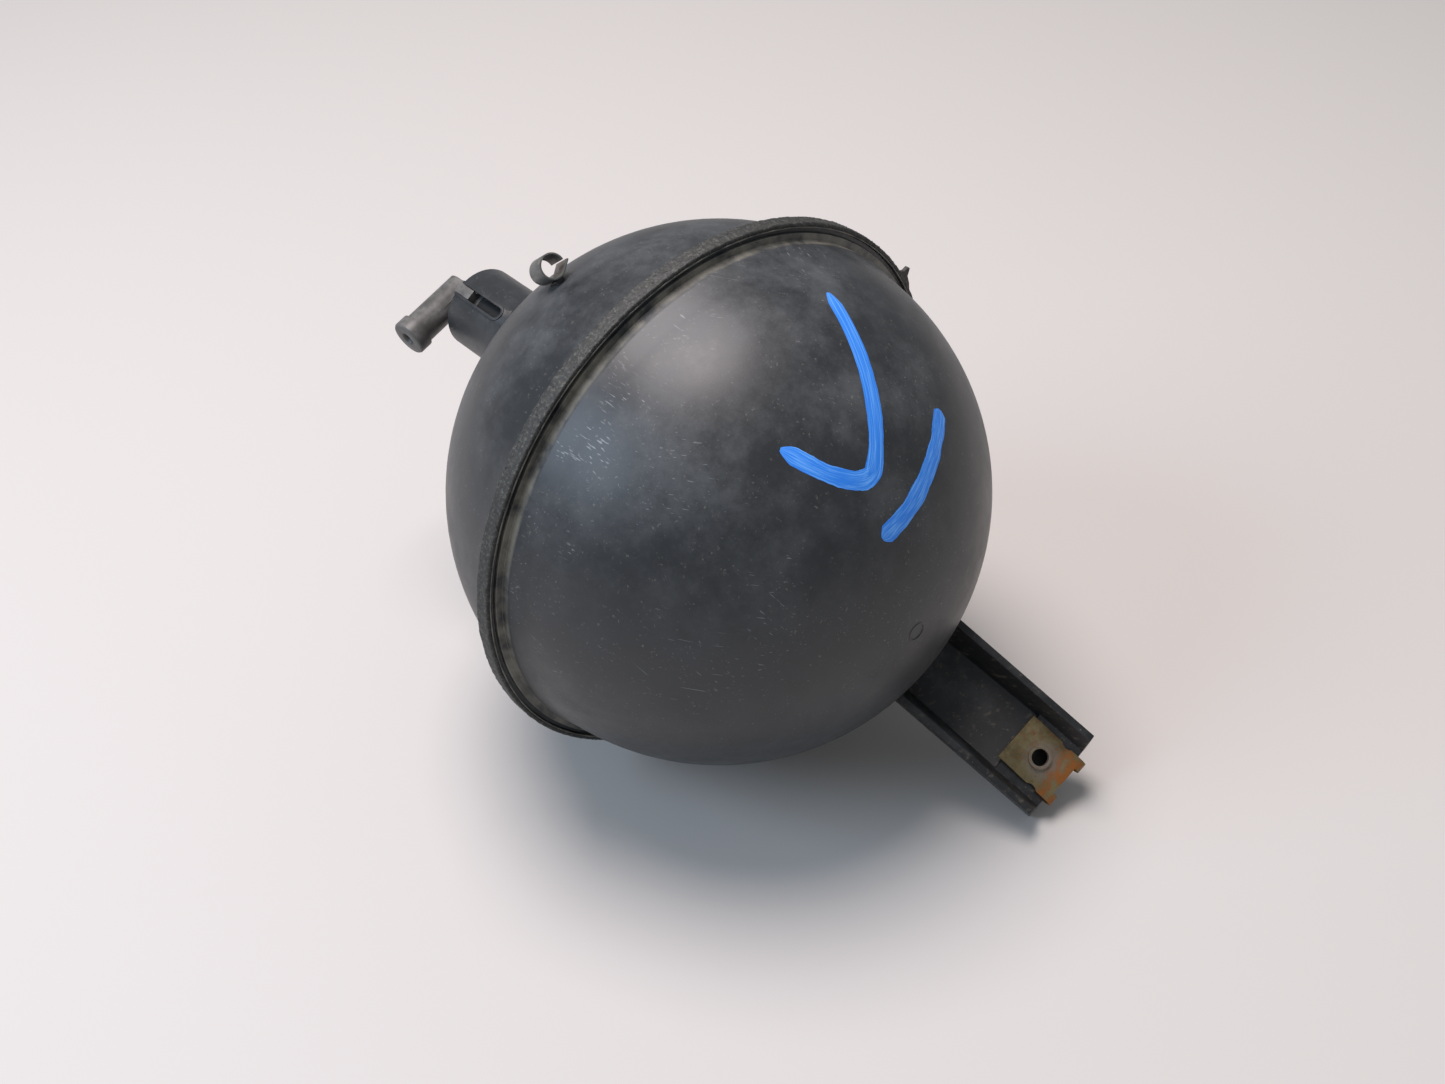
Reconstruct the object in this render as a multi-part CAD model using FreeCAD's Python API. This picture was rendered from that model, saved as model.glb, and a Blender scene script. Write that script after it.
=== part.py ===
"""Spherical vacuum reservoir with a push-in check-valve elbow, a hose clip and a bracket arm.

Frame: +Z up, millimetres. The ball lies on the edge of its weld rim with its polar axis level
along X (bracket side +X, port side -X), as it rests when it is put down. The origin is on the
ground below the middle of the part's bounding box, so the ball sits a little towards +X.
"""
import FreeCAD, Part

import math
import os

os.makedirs("parts", exist_ok=True)

# ---------------------------------------------------------------- ball
BALL_R = 75.0            # outer radius of both hemispheres
WALL = 2.8               # wall of both hemispheres
RIM_R = 80.6             # crests of the weld bead
WELD_X = -0.5            # plane in which the two halves meet
FLANGE_R = 79.3          # outer radius of both flanges
FLANGE_FRONT_X = 1.8     # front face of the bracket-side flange
FLANGE_REAR_X = -2.9     # rear face of the port-side flange
SKIRT_R = 75.6           # short straight skirt in front of the flange
SKIRT_X = 4.6            # end of the straight part of the skirt
SKIRT_FOOT_X = 9.0       # and where its slope runs out on the ball
GROOVE_IN_R = 77.6       # flash groove in the front face of the flange
GROOVE_OUT_R = 78.9
GROOVE_DEPTH = 1.2
GATE_R = 2.8             # moulding gate mark on the pole
FLASH_TAG_AZIMUTH = 60.0  # torn weld flash on the rim, from straight up towards +Y
REST_Z = RIM_R           # height of the ball centre over the ground
BALL_X = 8.35            # the ball sits this far off the middle of the part's length

# ---------------------------------------------------------------- port collar and valve
PORT_OFFSET = 17.3       # the collar stands off the polar axis
PORT_AZIMUTH = 23.5      # direction of that offset, from straight up towards -Y
COLLAR_R = 12.55
COLLAR_BORE_R = 10.5
COLLAR_END = 99.0        # collar mouth, measured from the mid plane of the ball
SEAT_OUT = 77.0          # floor of the collar
SEAT_IN = 73.0           # inside face of the grommet seat
PORT_HOLE_R = 6.4
SLOT_AZIMUTH = 35.1      # the keyed slot in the collar
SLOT_W = 3.4
SLOT_END = 79.1
KEY_START = 93.4         # inner end of the keys that fill the mouths of the slots
SLOT_LIP_W = 0.8
SLOT_LIP_H = 0.35
NIPPLE_AZIMUTH = 17.3    # the hose nipple leaves at right angles to this direction
NIPPLE_TILT = 6.3        # and leans back towards the ball by this much
BODY_R = 9.4
BODY_IN_R = 7.6
BODY_BOTTOM = 78.2
BODY_TOP = 93.5
CUP_FLOOR = 80.0         # inside floor of the valve cup
CAP_FACE = 91.1          # inside face of the cap
VALVE_SEAT = 80.9        # the disc rests here when the valve is shut
VALVE_SEAT_R = 3.8
DISC_R = 5.2
DISC_T = 1.3
STEM_R = 1.0
GUIDE_PLATE = 86.6       # underside of the guide plate
SPRING_R = 2.9
SPRING_TURNS = 3.5
SPIGOT_R = 4.2
SPIGOT_BORE_R = 2.2
SPIGOT_END = 68.5
NECK_R = 3.6
NIPPLE_R = 4.9
NIPPLE_BORE_R = 1.8
NIPPLE_LEN = 22.4        # from the corner of the elbow to the hose end
NIPPLE_BACK = 1.6        # its closed end stands this far past the corner
BARB_R = 5.65            # raised collar at the hose end
BARB_LEN = 4.3
MITRE_START = 0.2        # the back of the corner is cut off at a slant, from here on the crest
MITRE_ANGLE = 50.0
CORNER = 111.1           # corner of the elbow, measured from the mid plane of the ball

# ---------------------------------------------------------------- bracket arm
ARM_LEAN = 28.8          # side lean of the arm's mid plane from straight down towards +Y
ARM_ANGLE = 34.6         # arm against the polar axis
ARM_SIDE = 4.2           # the arm sits a little to one side of the polar plane
ARM_END = 127.8          # end of the arm, measured along it from the centre of the ball
ARM_BOTTOM = -17.2       # lower edge of the side walls at the end
ARM_TOP = -4.6           # upper edge of the side walls
ARM_TOP_W = 29.0
ARM_SPLAY = 5.0          # outward lean of the side walls
ARM_RAKE = 3.2           # the end of the walls leans back by this much
ARM_ROOT_DROP = 7.0      # the side walls get deeper towards the ball
LAND_W = 2.0
PAD_TOP = -11.6
PAD_T = 2.6
PAD_LEN = 17.5
FLOOR_DROP = 1.8         # channel floor below the pad
PAD_HOLE_R = 4.2
WEB_T = 1.3              # skin that closes the clip's pocket from below

# ---------------------------------------------------------------- clip nut
NUT_W = 15.6
NUT_T = 0.9
NUT_BACK = 18.4          # upper leg, from the front bend
NUT_LOWER = 14.0
NUT_TURN = -2.0          # the clip sits slightly askew on the pad
NUT_SHIFT = 0.5          # and off the middle of the pad
NUT_COLLAR_R = 3.4
NUT_BORE_R = 2.5
NUT_HOLE_FROM_BEND = 9.4

# ---------------------------------------------------------------- hose clip
CLIP_R = 3.35
CLIP_T = 0.5
CLIP_W = 8.0
CLIP_HEIGHT = 4.3        # centre of the ring over the ball
CLIP_POLAR = 60.5        # where it sits, from the port-side pole
CLIP_AZIMUTH = 20.8      # and from straight up towards -Y
CLIP_DIP = 39.0          # the clipped hose runs this much below level
CLIP_BEARING = 8.3       # and this much from -X towards +Y
CLIP_FREE_END = -8.0     # the ring runs from here round to the root of its lip
CLIP_LIP_ROOT = 300.0
CLIP_LIP_LEN = 3.4


def vec(x, y, z):
    return FreeCAD.Vector(x, y, z)


def azimuth(degrees):
    """Unit vector square to the polar axis, from straight up towards -Y."""
    a = math.radians(degrees)
    return vec(0.0, -math.sin(a), math.cos(a))


BALL_CENTRE = vec(BALL_X, 0.0, REST_Z)
OUTWARD = vec(-1.0, 0.0, 0.0)
PORT_ORIGIN = BALL_CENTRE + azimuth(PORT_AZIMUTH) * PORT_OFFSET


def placed(shape, origin, x_dir, z_dir):
    """Moves a shape built in a local frame to its place in the part."""
    y_dir = z_dir.cross(x_dir)
    matrix = FreeCAD.Matrix(
        x_dir.x, y_dir.x, z_dir.x, origin.x,
        x_dir.y, y_dir.y, z_dir.y, origin.y,
        x_dir.z, y_dir.z, z_dir.z, origin.z,
        0.0, 0.0, 0.0, 1.0,
    )
    moved = shape.copy()
    moved.Placement = FreeCAD.Placement(matrix).multiply(shape.Placement)
    return moved


def at_port(shape, degrees):
    """Local frame of the port: z outward along the collar, x at the given azimuth."""
    return placed(shape, PORT_ORIGIN, azimuth(degrees), OUTWARD)


def arm_axes():
    lean = math.radians(ARM_LEAN)
    angle = math.radians(ARM_ANGLE)
    polar = vec(1.0, 0.0, 0.0)
    down = vec(0.0, math.sin(lean), -math.cos(lean))
    along = polar * math.cos(angle) + down * math.sin(angle)
    normal = polar * math.sin(angle) - down * math.cos(angle)
    return along, normal


def at_arm(shape):
    """Local frame of the arm: x along it, z towards its open side, at the ball centre."""
    along, normal = arm_axes()
    side = normal.cross(along)
    return placed(shape, BALL_CENTRE + side * ARM_SIDE, along, normal)


def revolved(points, axis_origin, axis):
    """Full turn of a closed straight-sided outline."""
    wire = Part.makePolygon(points + [points[0]])
    return Part.Face(wire).revolve(axis_origin, axis, 360)


def turned(points):
    """Turned body in a local frame, from (z, radius) pairs."""
    return revolved([vec(r, 0.0, z) for z, r in points], vec(0, 0, 0), vec(0, 0, 1))


def cylinder(radius, z0, z1, x=0.0, y=0.0):
    return Part.makeCylinder(radius, z1 - z0, vec(x, y, z0), vec(0, 0, 1))


def tube(outer, inner, z0, z1):
    return cylinder(outer, z0, z1).cut(cylinder(inner, z0, z1))


def box(x0, x1, y0, y1, z0, z1):
    return Part.makeBox(x1 - x0, y1 - y0, z1 - z0, vec(x0, y0, z0))


def export(shape, name):
    """Writes one node, every body of it checked."""
    for solid in shape.Solids:
        assert solid.isValid(), name
    shape.exportStep("parts/%s.step" % name)
    print("%-22s %3d solid(s)  %10.1f mm3" % (name, len(shape.Solids), shape.Volume))


# ---------------------------------------------------------------- hemispheres
def polar_profile(pieces):
    """Closed outline through points (x, r) and arcs ((x, r), (x, r), (x, r)) about the ball centre."""
    edges = []
    for piece in pieces:
        ends = [vec(x, 0.0, r) for x, r in piece]
        if len(ends) == 3:
            edges.append(Part.Arc(ends[0], ends[1], ends[2]).toShape())
        else:
            edges.append(Part.makeLine(ends[0], ends[1]))
    return Part.Face(Part.Wire(edges))


def on_sphere(radius, x):
    return (x, math.sqrt(radius * radius - x * x))


def hemisphere(sign, flange_face):
    """Half ball with its flange and skirt; sign +1 is the bracket side."""
    inner_r = BALL_R - WALL
    pole_out = (sign * BALL_R, 0.0)
    pole_in = (sign * inner_r, 0.0)
    skirt_foot = on_sphere(BALL_R, sign * SKIRT_FOOT_X)
    corners = [
        skirt_foot,
        (sign * SKIRT_X, SKIRT_R),
        (flange_face, SKIRT_R),
        (flange_face, FLANGE_R),
        (WELD_X, FLANGE_R),
        on_sphere(inner_r, WELD_X),
    ]
    middle_out = on_sphere(BALL_R, sign * BALL_R * 0.7)
    middle_in = on_sphere(inner_r, sign * inner_r * 0.7)
    pieces = [(pole_out, middle_out, skirt_foot)]
    pieces += list(zip(corners[:-1], corners[1:]))
    pieces.append((corners[-1], middle_in, pole_in))
    pieces.append((pole_in, pole_out))
    solid = polar_profile(pieces).revolve(vec(0, 0, 0), vec(1, 0, 0), 360)
    solid.translate(BALL_CENTRE)
    return solid


def x_ring(outer, inner, x0, x1):
    """Ring about the polar axis."""
    base = BALL_CENTRE + vec(x0, 0, 0)
    ring = Part.makeCylinder(outer, x1 - x0, base, vec(1, 0, 0))
    if inner > 0:
        ring = ring.cut(Part.makeCylinder(inner, x1 - x0, base, vec(1, 0, 0)))
    return ring


def ball_solid(radius):
    return Part.makeSphere(radius, BALL_CENTRE)


def make_shell_bracket_side():
    shell = hemisphere(1, FLANGE_FRONT_X)
    groove = x_ring(GROOVE_OUT_R, GROOVE_IN_R, FLANGE_FRONT_X - GROOVE_DEPTH, FLANGE_FRONT_X + 1)
    gate = x_ring(GATE_R, GATE_R - 0.4, BALL_R - 1.2, BALL_R + 0.2)
    return shell.cut(groove).fuse(gate).removeSplitter()


def slot_solid(width, end, outer_r, inner_r):
    """Slot outline in the port frame, open at the collar mouth, round at its inner end."""
    half = width / 2.0
    straight = box(inner_r, outer_r, -half, half, end + half, COLLAR_END + 2)
    nose = Part.makeCylinder(half, outer_r - inner_r, vec(inner_r, 0, end + half), vec(1, 0, 0))
    return straight.fuse(nose)


def both_sides(shape):
    """The shape and its twin on the other side of the collar."""
    twin = shape.copy()
    twin.rotate(vec(0, 0, 0), vec(0, 0, 1), 180)
    return shape.fuse(twin)


def make_shell_port_side():
    shell = hemisphere(-1, FLANGE_REAR_X)
    collar = cylinder(COLLAR_R, 60.0, COLLAR_END)
    lip = both_sides(slot_solid(SLOT_W + 2 * SLOT_LIP_W, SLOT_END - SLOT_LIP_W, COLLAR_R + 1, 6.0))
    lip = lip.common(tube(COLLAR_R + SLOT_LIP_H, COLLAR_R - 1, SLOT_END - 2, COLLAR_END))
    collar = collar.fuse(lip)
    collar = at_port(collar, SLOT_AZIMUTH).cut(ball_solid(BALL_R - WALL))
    seat = at_port(cylinder(COLLAR_R, SEAT_IN - 8, SEAT_OUT), SLOT_AZIMUTH)
    shell = shell.fuse(collar).fuse(seat.cut(ball_solid(BALL_R - 9)))
    cutters = [
        cylinder(COLLAR_BORE_R, SEAT_OUT, COLLAR_END + 5),
        cylinder(PORT_HOLE_R, 50.0, SEAT_OUT + 1),
        cylinder(COLLAR_BORE_R, 50.0, SEAT_IN),
        both_sides(slot_solid(SLOT_W, SLOT_END, COLLAR_R + 3, 6.0)),
    ]
    for cutter in cutters:
        shell = shell.cut(at_port(cutter, SLOT_AZIMUTH))
    return shell.removeSplitter()


# ---------------------------------------------------------------- weld bead
def make_weld_bead():
    """Squeezed-out weld metal that wraps the edges of both flanges."""
    outline = [
        (FLANGE_REAR_X, FLANGE_R + 0.02),
        (FLANGE_REAR_X + 0.2, RIM_R - 0.35),
        (FLANGE_REAR_X + 0.9, RIM_R),
        (WELD_X - 0.5, RIM_R - 0.1),
        (WELD_X, RIM_R - 0.55),
        (WELD_X + 0.5, RIM_R - 0.15),
        (FLANGE_FRONT_X - 0.7, RIM_R),
        (FLANGE_FRONT_X - 0.1, RIM_R - 0.35),
        (FLANGE_FRONT_X, FLANGE_R + 0.02),
    ]
    points = [vec(x, 0.0, r) for x, r in outline]
    ring = revolved(points, vec(0, 0, 0), vec(1, 0, 0))
    ring.translate(BALL_CENTRE)
    return ring


def make_weld_bead_inner():
    """The same bead on the inside of the joint."""
    r = BALL_R - WALL
    outline = [(-2.2, 0.0), (-1.5, 1.1), (-0.2, 0.5), (0.3, 1.2), (1.2, 0.0)]
    points = [vec(WELD_X + x, 0.0, r - 0.05 - h) for x, h in outline]
    ring = revolved(points, vec(0, 0, 0), vec(1, 0, 0))
    ring.translate(BALL_CENTRE)
    return ring


def make_flash_tag():
    """Torn tongue of weld flash that stands off the rim high on the far side."""
    outline = [(0.0, -5.8), (1.0, -3.4), (1.5, -0.8), (3.3, 0.9), (2.9, 1.7), (1.2, 1.9), (0.0, 3.4)]
    face = Part.Face(Part.makePolygon([vec(x, y, 0) for x, y in outline + [outline[0]]]))
    tag = face.extrude(vec(0, 0, 1.1))
    radial = azimuth(-FLASH_TAG_AZIMUTH)
    origin = BALL_CENTRE + radial * (RIM_R + 0.02) + vec(WELD_X - 0.2, 0, 0)
    return placed(tag, origin, radial, vec(1, 0, 0))


# ---------------------------------------------------------------- check valve and elbow
def make_port_grommet():
    """Rubber grommet, snapped into the seat of the port."""
    outline = [
        (SEAT_IN - 2.4, SPIGOT_R + 0.02),
        (SEAT_IN - 2.4, PORT_HOLE_R + 0.6),
        (SEAT_IN - 0.05, PORT_HOLE_R + 2.2),
        (SEAT_IN - 0.05, PORT_HOLE_R - 0.05),
        (SEAT_OUT + 0.05, PORT_HOLE_R - 0.05),
        (SEAT_OUT + 0.05, PORT_HOLE_R + 2.4),
        (SEAT_OUT + 1.0, PORT_HOLE_R + 2.4),
        (SEAT_OUT + 1.0, SPIGOT_R + 0.02),
    ]
    return at_port(turned(outline), SLOT_AZIMUTH)


def make_valve_body():
    """Lower half of the valve: cup with the spigot, its barb and the valve seat."""
    outline = [
        (SPIGOT_END, SPIGOT_BORE_R),
        (SPIGOT_END, SPIGOT_R - 0.6),
        (SPIGOT_END + 1.6, SPIGOT_R),
        (BODY_BOTTOM, SPIGOT_R),
        (BODY_BOTTOM, BODY_R),
        (BODY_TOP - 1.6, BODY_R),
        (BODY_TOP - 1.6, BODY_IN_R),
        (CUP_FLOOR, BODY_IN_R),
        (CUP_FLOOR, SPIGOT_BORE_R),
    ]
    seat = tube(VALVE_SEAT_R, VALVE_SEAT_R - 0.7, CUP_FLOOR, VALVE_SEAT)
    return at_port(turned(outline).fuse(seat), NIPPLE_AZIMUTH)


def make_guide_plate():
    """Perforated plate in the cup that guides the disc's stem and backs the spring."""
    plate = tube(BODY_IN_R - 0.03, STEM_R + 0.05, GUIDE_PLATE, GUIDE_PLATE + 1.0)
    for k in range(6):
        a = math.radians(60 * k)
        plate = plate.cut(cylinder(1.2, 0, 100, 5.0 * math.cos(a), 5.0 * math.sin(a)))
    return at_port(plate, NIPPLE_AZIMUTH)


def make_valve_disc():
    """Rubber disc on a guide stem; rests on the seat over the spigot and lifts off it outward."""
    face = VALVE_SEAT + 0.03
    outline = [
        (face, 0.0),
        (face, DISC_R),
        (face + DISC_T, DISC_R - 0.2),
        (face + DISC_T, STEM_R),
        (GUIDE_PLATE + 2.0, STEM_R),
        (GUIDE_PLATE + 2.4, STEM_R - 0.4),
        (GUIDE_PLATE + 2.4, 0.0),
    ]
    return at_port(turned(outline), NIPPLE_AZIMUTH)


def make_valve_spring():
    """Light compression spring between the guide plate and the disc, drawn as its coils."""
    wire_r = 0.2
    z0 = VALVE_SEAT + 0.03 + DISC_T + wire_r + 0.03
    z1 = GUIDE_PLATE - wire_r - 0.03
    steps = int(16 * SPRING_TURNS)
    centres = []
    for k in range(steps + 1):
        a = 2 * math.pi * SPRING_TURNS * k / steps
        centres.append(vec(SPRING_R * math.cos(a), SPRING_R * math.sin(a), z0 + (z1 - z0) * k / steps))
    outline = []
    for k in range(9):
        a = math.radians(45 * k)
        outline.append(vec(SPRING_R + wire_r * math.cos(a), 0, z0 + wire_r * math.sin(a)))
    coil = Part.makePolygon(centres).makePipeShell([Part.makePolygon(outline)], True, False, 1)
    return at_port(coil, NIPPLE_AZIMUTH)


def nipple_pieces():
    """Outside and bore of the hose nipple, leaning back about the corner of the elbow."""
    hose = vec(0, -1, 0)
    pipe = Part.makeCylinder(NIPPLE_R, NIPPLE_LEN + NIPPLE_BACK, vec(0, NIPPLE_BACK, CORNER), hose)
    barb = cylinder(BARB_R, 0.0, BARB_LEN - 0.5)
    barb = barb.fuse(Part.makeCone(BARB_R, BARB_R - 0.4, 0.5, vec(0, 0, BARB_LEN - 0.5)))
    outside = pipe.fuse(placed(barb, vec(0, BARB_LEN - NIPPLE_LEN, CORNER), vec(1, 0, 0), hose))
    bore = Part.makeCylinder(NIPPLE_BORE_R, NIPPLE_LEN, vec(0, -0.6, CORNER), hose)
    bore = bore.fuse(Part.makeCone(NIPPLE_BORE_R, 2.3, 0.8, vec(0, 0.8 - NIPPLE_LEN, CORNER), hose))
    for piece in (outside, bore):
        piece.rotate(vec(0, 0, CORNER), vec(1, 0, 0), NIPPLE_TILT)
    return outside, bore


def make_elbow_cap():
    """Upper half of the valve: lid, neck, mitred corner and hose nipple."""
    lid = cylinder(BODY_R, BODY_TOP - 1.5, BODY_TOP + 1.5)
    rim = cylinder(BODY_IN_R - 0.06, CAP_FACE, BODY_TOP)
    neck = cylinder(NECK_R, BODY_TOP, CORNER)
    elbow = lid.fuse(rim).fuse(neck)
    elbow = elbow.fuse(Part.makeSphere(NECK_R, vec(0, 0, CORNER)))
    outside, bore = nipple_pieces()
    slope = box(-9, 9, -5, 25, 0, 20)
    slope.rotate(vec(0, 0, 0), vec(1, 0, 0), -MITRE_ANGLE)
    slope.translate(vec(0, MITRE_START, CORNER + NIPPLE_R))
    elbow = elbow.fuse(outside).cut(slope)
    down = cylinder(NIPPLE_BORE_R, CAP_FACE - 1, CORNER - 0.5)
    return elbow.cut(bore).cut(down).removeSplitter()


def make_elbow():
    elbow = at_port(make_elbow_cap(), NIPPLE_AZIMUTH)
    half = SLOT_W / 2.0 - 0.15
    key = box(NECK_R - 1.0, COLLAR_R - 0.1, -half, half, KEY_START, CORNER - 2.0)
    slope = box(-20, 20, -9, 9, 0, 30)
    slope.rotate(vec(0, 0, 0), vec(0, 1, 0), 38)
    slope.translate(vec(COLLAR_R, 0, COLLAR_END + 1.0))
    key = both_sides(key.cut(slope))
    bore = cylinder(NIPPLE_BORE_R, 0, CORNER)
    return elbow.fuse(at_port(key.cut(bore), SLOT_AZIMUTH)).removeSplitter()


# ---------------------------------------------------------------- bracket arm
def prism(section, x0, x1):
    """Straight bar along local x, from (y, z) pairs."""
    face = Part.Face(Part.makePolygon([vec(x0, y, z) for y, z in section + [section[0]]]))
    return face.extrude(vec(x1 - x0, 0, 0))


def lofted(section0, x0, section1, x1):
    """Bar along local x that changes from one (y, z) outline to another."""
    wires = []
    for section, x in ((section0, x0), (section1, x1)):
        wires.append(Part.makePolygon([vec(x, y, z) for y, z in section + [section[0]]]))
    return Part.makeLoft(wires, True, True)


def channel_outline(bottom):
    """Outer outline of the channel with its walls reaching down to the given level."""
    top_half = ARM_TOP_W / 2.0
    foot_half = top_half - (ARM_TOP - bottom) * math.tan(math.radians(ARM_SPLAY))
    return [(-foot_half, bottom), (foot_half, bottom), (top_half, ARM_TOP), (-top_half, ARM_TOP)]


def trough_outline(floor):
    """Inner outline of the channel: thin at the upper edge, thick at the floor."""
    top_half = ARM_TOP_W / 2.0 - LAND_W
    foot_half = top_half - (ARM_TOP - floor) * math.tan(math.radians(ARM_SPLAY + 13.0))
    rise = 0.6
    return [
        (-foot_half, floor),
        (foot_half, floor),
        (top_half, ARM_TOP),
        (top_half + 0.1, ARM_TOP + rise),
        (-top_half - 0.1, ARM_TOP + rise),
        (-top_half, ARM_TOP),
    ]


def make_bracket_arm():
    root = 52.0
    floor = PAD_TOP - FLOOR_DROP
    arm = lofted(channel_outline(ARM_BOTTOM - ARM_ROOT_DROP), root, channel_outline(ARM_BOTTOM), ARM_END)
    arm = arm.cut(prism(trough_outline(PAD_TOP), ARM_END - PAD_LEN, ARM_END + 1))
    arm = arm.cut(lofted(trough_outline(floor - 3.0), root - 1, trough_outline(floor), ARM_END - PAD_LEN))
    under_half = channel_outline(ARM_BOTTOM)[1][0] - LAND_W
    under_top = PAD_TOP - PAD_T - FLOOR_DROP - 1.0
    pocket_x = ARM_END - PAD_LEN - 2
    under = box(84.0, pocket_x, -under_half, under_half, ARM_BOTTOM - 20, under_top)
    pocket = box(pocket_x, ARM_END + 1, -under_half, under_half, ARM_BOTTOM + WEB_T, PAD_TOP - PAD_T)
    arm = arm.cut(under).cut(pocket)
    rake = box(0, 20, -30, 30, 0, 40)
    tilt = math.degrees(math.atan2(ARM_RAKE, ARM_TOP - ARM_BOTTOM))
    rake.rotate(vec(0, 0, 0), vec(0, 1, 0), -tilt)
    rake.translate(vec(ARM_END, 0, ARM_BOTTOM))
    arm = arm.cut(rake)
    arm = arm.cut(cylinder(PAD_HOLE_R, PAD_TOP - PAD_T - 0.5, 0, ARM_END - 1.0 - NUT_HOLE_FROM_BEND))
    arm = at_arm(arm)
    return arm.cut(ball_solid(BALL_R + 0.02)).removeSplitter()


# ---------------------------------------------------------------- clip nut
def make_clip_nut():
    """Spring-steel clip: two legs joined by a bend round the end of the pad, threaded collar above."""
    half = NUT_W / 2.0
    gap = PAD_T + 0.12
    upper = box(-NUT_BACK, 0, -half, half, 0, NUT_T)
    lower = box(-NUT_LOWER, 0, -half + 1.2, half - 1.2, -gap - NUT_T, -gap)
    bend_r = (gap + 2 * NUT_T) / 2.0
    bend = Part.makeCylinder(bend_r, NUT_W, vec(0, -half, NUT_T - bend_r), vec(0, 1, 0))
    bend = bend.cut(Part.makeCylinder(bend_r - NUT_T, NUT_W, vec(0, -half, NUT_T - bend_r), vec(0, 1, 0)))
    bend = bend.common(box(0, 10, -half, half, -10, 10))
    window = box(0.3, 5, -half + 3.2, half - 3.2, -10, 5)
    clip = upper.fuse(lower).fuse(bend.cut(window))
    hole_x = -NUT_HOLE_FROM_BEND
    clip = clip.fuse(cylinder(NUT_COLLAR_R, 0.0, NUT_T + 0.9, hole_x))
    clip = clip.cut(cylinder(NUT_BORE_R, -10, 10, hole_x))
    clip = clip.cut(cylinder(PAD_HOLE_R - 0.6, -gap - NUT_T - 1, -gap + 0.1, hole_x))
    for sign in (-1, 1):
        notch = Part.makeCylinder(2.6, 3, vec(-5.6, sign * (half + 1.9), -0.5), vec(0, 0, 1))
        clip = clip.cut(notch)
    clip = clip.removeSplitter()
    clip.rotate(vec(hole_x, 0, 0), vec(0, 0, 1), NUT_TURN)
    clip.translate(vec(ARM_END - 0.6, NUT_SHIFT, PAD_TOP + 0.03))
    return at_arm(clip)


# ---------------------------------------------------------------- hose clip
def hose_clip_axes():
    """Direction off the ball at the clip, direction of the hose in it, and the clip's own up."""
    polar = math.radians(CLIP_POLAR)
    radial = OUTWARD * math.cos(polar) + azimuth(CLIP_AZIMUTH) * math.sin(polar)
    dip = math.radians(CLIP_DIP)
    bearing = math.radians(CLIP_BEARING)
    level = vec(-math.cos(bearing), math.sin(bearing), 0.0)
    along = level * math.cos(dip) - vec(0, 0, math.sin(dip))
    up = radial - along * radial.dot(along)
    up.normalize()
    return radial, along, up


def at_hose_clip(shape):
    """Local frame of the hose clip: z off the ball, y along the hose, origin in its ring."""
    radial, along, up = hose_clip_axes()
    return placed(shape, BALL_CENTRE + radial * (BALL_R + CLIP_HEIGHT), along.cross(up), up)


def ring_point(radius, degrees, run=0.0):
    """Point on a circle in the clip's frame, moved on along the tangent."""
    a = math.radians(degrees)
    x = radius * math.cos(a) - run * math.sin(a)
    return vec(x, -CLIP_W / 2.0, radius * math.sin(a) + run * math.cos(a))


def make_hose_clip():
    """Open ring of thin strip with a flared lip to guide the hose in."""
    middle = (CLIP_FREE_END + CLIP_LIP_ROOT) / 2.0
    edges = []
    for radius in (CLIP_R - CLIP_T / 2.0, CLIP_R + CLIP_T / 2.0):
        points = [ring_point(radius, a) for a in (CLIP_FREE_END, middle, CLIP_LIP_ROOT)]
        edges.append(Part.Arc(*points).toShape())
        edges.append(Part.makeLine(points[2], ring_point(radius, CLIP_LIP_ROOT, CLIP_LIP_LEN)))
    for degrees, run in ((CLIP_FREE_END, 0.0), (CLIP_LIP_ROOT, CLIP_LIP_LEN)):
        ends = [ring_point(CLIP_R + side * CLIP_T / 2.0, degrees, run) for side in (-1, 1)]
        edges.append(Part.makeLine(*ends))
    strip = Part.Face(Part.Wire(Part.sortEdges(edges)[0])).extrude(vec(0, CLIP_W, 0))
    return at_hose_clip(strip).cut(ball_solid(BALL_R + 0.02))


def make_hose_clip_base():
    """Small moulded pad on the ball that the clip is staked to."""
    top = -CLIP_R - CLIP_T / 2.0 - 0.03
    base = box(-1.3, 1.3, -CLIP_W / 2.0 + 2.4, CLIP_W / 2.0 - 1.4, -CLIP_R - 5.0, top)
    return at_hose_clip(base).cut(ball_solid(BALL_R + 0.02))


NODES = {
    "shell_bracket_side": make_shell_bracket_side,
    "shell_port_side": make_shell_port_side,
    "weld_bead_outer": make_weld_bead,
    "weld_bead_inner": make_weld_bead_inner,
    "weld_flash_tag": make_flash_tag,
    "bracket_arm": make_bracket_arm,
    "clip_nut": make_clip_nut,
    "port_grommet": make_port_grommet,
    "valve_body": make_valve_body,
    "guide_plate": make_guide_plate,
    "valve_spring": make_valve_spring,
    "valve_disc": make_valve_disc,
    "elbow": make_elbow,
    "hose_clip": make_hose_clip,
    "hose_clip_base": make_hose_clip_base,
}

for node, make in NODES.items():
    export(make(), node)
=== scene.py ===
"""Looks of a spherical vacuum reservoir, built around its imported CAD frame."""
import logging
import math
from dataclasses import dataclass, field
from enum import Enum
from typing import Any, Sequence

import bmesh
import bpy
from mathutils import Matrix, Vector, noise


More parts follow.
